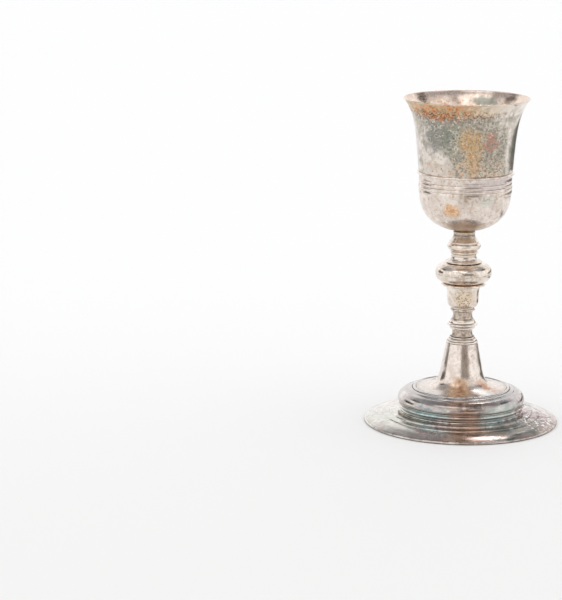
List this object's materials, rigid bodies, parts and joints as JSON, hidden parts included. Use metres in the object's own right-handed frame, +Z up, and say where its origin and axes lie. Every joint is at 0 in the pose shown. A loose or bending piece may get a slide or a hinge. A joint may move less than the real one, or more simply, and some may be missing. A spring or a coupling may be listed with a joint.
{
  "type": "communion chalice",
  "caption": "Tall silver chalice: flared cup in a moulded false cup, turned baluster stem with a round knop, stepped circular foot, held together by a rod and nut.",
  "frame": {"origin": "centre of the foot, on the surface that it stands on", "axes": "+Z up along the chalice's axis of turning, X and Y across the foot"},
  "size_m": [0.1304, 0.1304, 0.22],
  "materials": {
    "cup_silver": "raised silver, mottled grey tarnish outside, worn gilding under the lip and inside",
    "false_cup_silver": "pale warm silver, lightly hammered, grime in the grooves",
    "stem_silver": "bright turned silver, brown in the grooves, fine pits",
    "trumpet_silver": "bright silver with copper-coloured stains at the root",
    "foot_silver": "tarnished silver, green and blue-grey bloom in the hollows, brown stains",
    "brass": "dull old brass, turned",
    "iron": "dark wrought iron"
  },
  "bodies": {
    "foot_and_stem": {"foot_rim_wire": "foot_silver", "foot_brim": "foot_silver", "foot_band": "foot_silver", "foot_dome": "foot_silver", "foot_bead": "foot_silver", "foot_trumpet": "trumpet_silver", "foot_collar": "stem_silver", "lower_neck": "stem_silver", "ring_knop": "stem_silver", "lower_spool": "stem_silver", "lower_collar": "stem_silver", "vase": "stem_silver", "knop_flange": "stem_silver", "knop_lower": "stem_silver", "knop_upper": "stem_silver", "knop_plate": "stem_silver", "upper_spool": "stem_silver", "upper_ring": "stem_silver", "upper_knop": "stem_silver", "neck": "stem_silver", "tie_rod": "iron"},
    "washer_under_cup": {"cup_washer": "brass"},
    "cup_and_false_cup": {"cup": "cup_silver", "cup_boss": "brass", "cup_stud": "brass", "false_cup": "false_cup_silver", "false_cup_rim": "false_cup_silver"},
    "washer_over_nut": {"nut_washer": "brass"},
    "nut": {"retaining_nut": "iron"}
  },
  "joints": [
    {"name": "cup_lift", "type": "slide", "parent": "foot_and_stem", "child": "washer_under_cup", "axis": [0, 0, 1], "range_m": [0, 0.00976]},
    {"name": "cup_turn", "type": "hinge", "parent": "washer_under_cup", "child": "cup_and_false_cup", "pos_m": [0, 0, 0.13], "axis": [0, 0, 1], "range_deg": [0, 2340]},
    {"name": "nut_travel", "type": "slide", "parent": "foot_and_stem", "child": "washer_over_nut", "axis": [0, 0, -1], "range_m": [0, 0.00825]},
    {"name": "nut_turn", "type": "hinge", "parent": "washer_over_nut", "child": "nut", "pos_m": [0, 0, 0.048], "axis": [0, 0, -1], "range_deg": [0, 1982]}
  ],
  "couplings": [
    {"joint": "cup_lift", "follows": "cup_turn", "m_per_rad": 0.00023873},
    {"joint": "nut_turn", "follows": "nut_travel", "rad_per_m": 4188.8}
  ]
}
